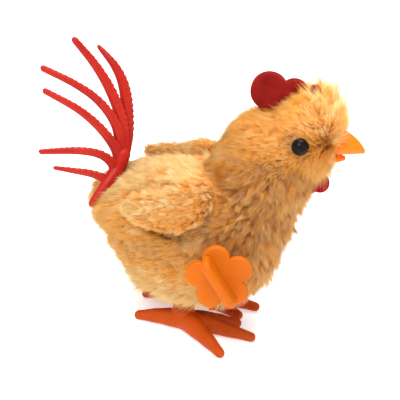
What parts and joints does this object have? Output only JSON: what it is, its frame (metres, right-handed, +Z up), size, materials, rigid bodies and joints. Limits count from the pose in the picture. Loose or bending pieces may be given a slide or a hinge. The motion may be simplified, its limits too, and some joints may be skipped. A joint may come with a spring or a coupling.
{
  "type": "wind-up walking rooster toy",
  "caption": "Plush-covered clockwork rooster with a flower-shaped winding knob, fanned tail, flocked comb and swinging feet.",
  "frame": {"origin": "bottom centre of the whole toy's bounding box, on the surface it stands on", "axes": "+X forward towards the beak, +Y towards the bird's left, +Z up; the mid-plane lies at a positive y because only the right side carries the knob"},
  "size_m": [0.0998, 0.064, 0.084],
  "materials": {
    "plush_golden": "long-pile plush, golden with pale tips",
    "plush_pale": "short-pile plush, pale cream",
    "fibre_fill": "white polyester fibre",
    "red_flock": "flocked, velvet-like",
    "red_felt": "soft felt",
    "beak_plastic": "smooth gloss",
    "eye_bead": "polished black",
    "white_plastic": "satin",
    "red_vinyl": "soft moulded vinyl, gloss",
    "gearbox_plastic": "satin",
    "screw_steel": "satin",
    "base_plastic": "satin",
    "spring_steel": "blued",
    "key_plastic": "slightly translucent gloss",
    "gear_plastic": "natural nylon",
    "foot_vinyl": "soft moulded vinyl, satin gloss"
  },
  "bodies": {
    "body": {"plush_skin": "plush_golden", "stuffing": "fibre_fill", "right_wing": "plush_pale", "left_wing": "plush_pale", "comb": "red_flock", "wattle": "red_felt", "upper_beak": "beak_plastic", "lower_beak": "beak_plastic", "right_eye": "eye_bead", "left_eye": "eye_bead", "eye_washers": "white_plastic", "tail_feathers": "red_vinyl", "tail_washer": "white_plastic", "gearbox_right_half": "gearbox_plastic", "gearbox_left_half": "gearbox_plastic", "gearbox_screws": "screw_steel", "base_plate": "base_plastic", "base_plate_screws": "screw_steel", "leg_pivot_caps": "white_plastic"},
    "winding_stem": {"winding_key": "key_plastic", "winding_arbor": "screw_steel", "ratchet_wheel": "spring_steel", "mainspring": "spring_steel"},
    "great_wheel_set": {"great_wheel": "gear_plastic", "click": "spring_steel"},
    "second_wheel_set": {"second_wheel": "gear_plastic", "second_arbor": "screw_steel"},
    "crankshaft": {"crank_arbor": "screw_steel", "crank_pinion": "gear_plastic", "left_crank_disc": "white_plastic", "right_crank_disc": "white_plastic"},
    "governor": {"governor_wheel": "gear_plastic", "governor_arbor": "screw_steel"},
    "right_leg": {"right_leg_lever": "white_plastic", "right_foot": "foot_vinyl"},
    "left_leg": {"left_leg_lever": "white_plastic", "left_foot": "foot_vinyl"}
  },
  "joints": [
    {"name": "key_turn", "type": "hinge", "parent": "body", "child": "winding_stem", "pos_m": [0.01306, 0.00359, 0.0278], "axis": [0, 1, 0], "continuous": true, "deforming": ["mainspring"]},
    {"name": "train_turn", "type": "hinge", "parent": "body", "child": "great_wheel_set", "pos_m": [0.01306, 0.00359, 0.0278], "axis": [0, 1, 0], "continuous": true},
    {"name": "second_turn", "type": "hinge", "parent": "body", "child": "second_wheel_set", "pos_m": [0.00338, 0.00359, 0.02986], "axis": [0, 1, 0], "continuous": true},
    {"name": "crank_turn", "type": "hinge", "parent": "body", "child": "crankshaft", "pos_m": [0.00292, 0.00359, 0.02117], "axis": [0, 1, 0], "continuous": true},
    {"name": "governor_turn", "type": "hinge", "parent": "body", "child": "governor", "pos_m": [-0.00499, 0.00359, 0.02913], "axis": [0, 1, 0], "continuous": true},
    {"name": "right_leg_swing", "type": "hinge", "parent": "body", "child": "right_leg", "pos_m": [0.00292, -0.00671, 0.0335], "axis": [0, 1, 0], "range_deg": [-9.8, 9.8]},
    {"name": "left_leg_swing", "type": "hinge", "parent": "body", "child": "left_leg", "pos_m": [0.00292, 0.01389, 0.0335], "axis": [0, 1, 0], "range_deg": [-9.8, 9.8]}
  ],
  "couplings": [
    {"joint": "second_turn", "follows": "train_turn", "ratio": -2.6667},
    {"joint": "crank_turn", "follows": "train_turn", "ratio": 5.9259},
    {"joint": "governor_turn", "follows": "train_turn", "ratio": 6.6667},
    {"joint": "left_leg_swing", "follows": "right_leg_swing", "ratio": -1}
  ]
}
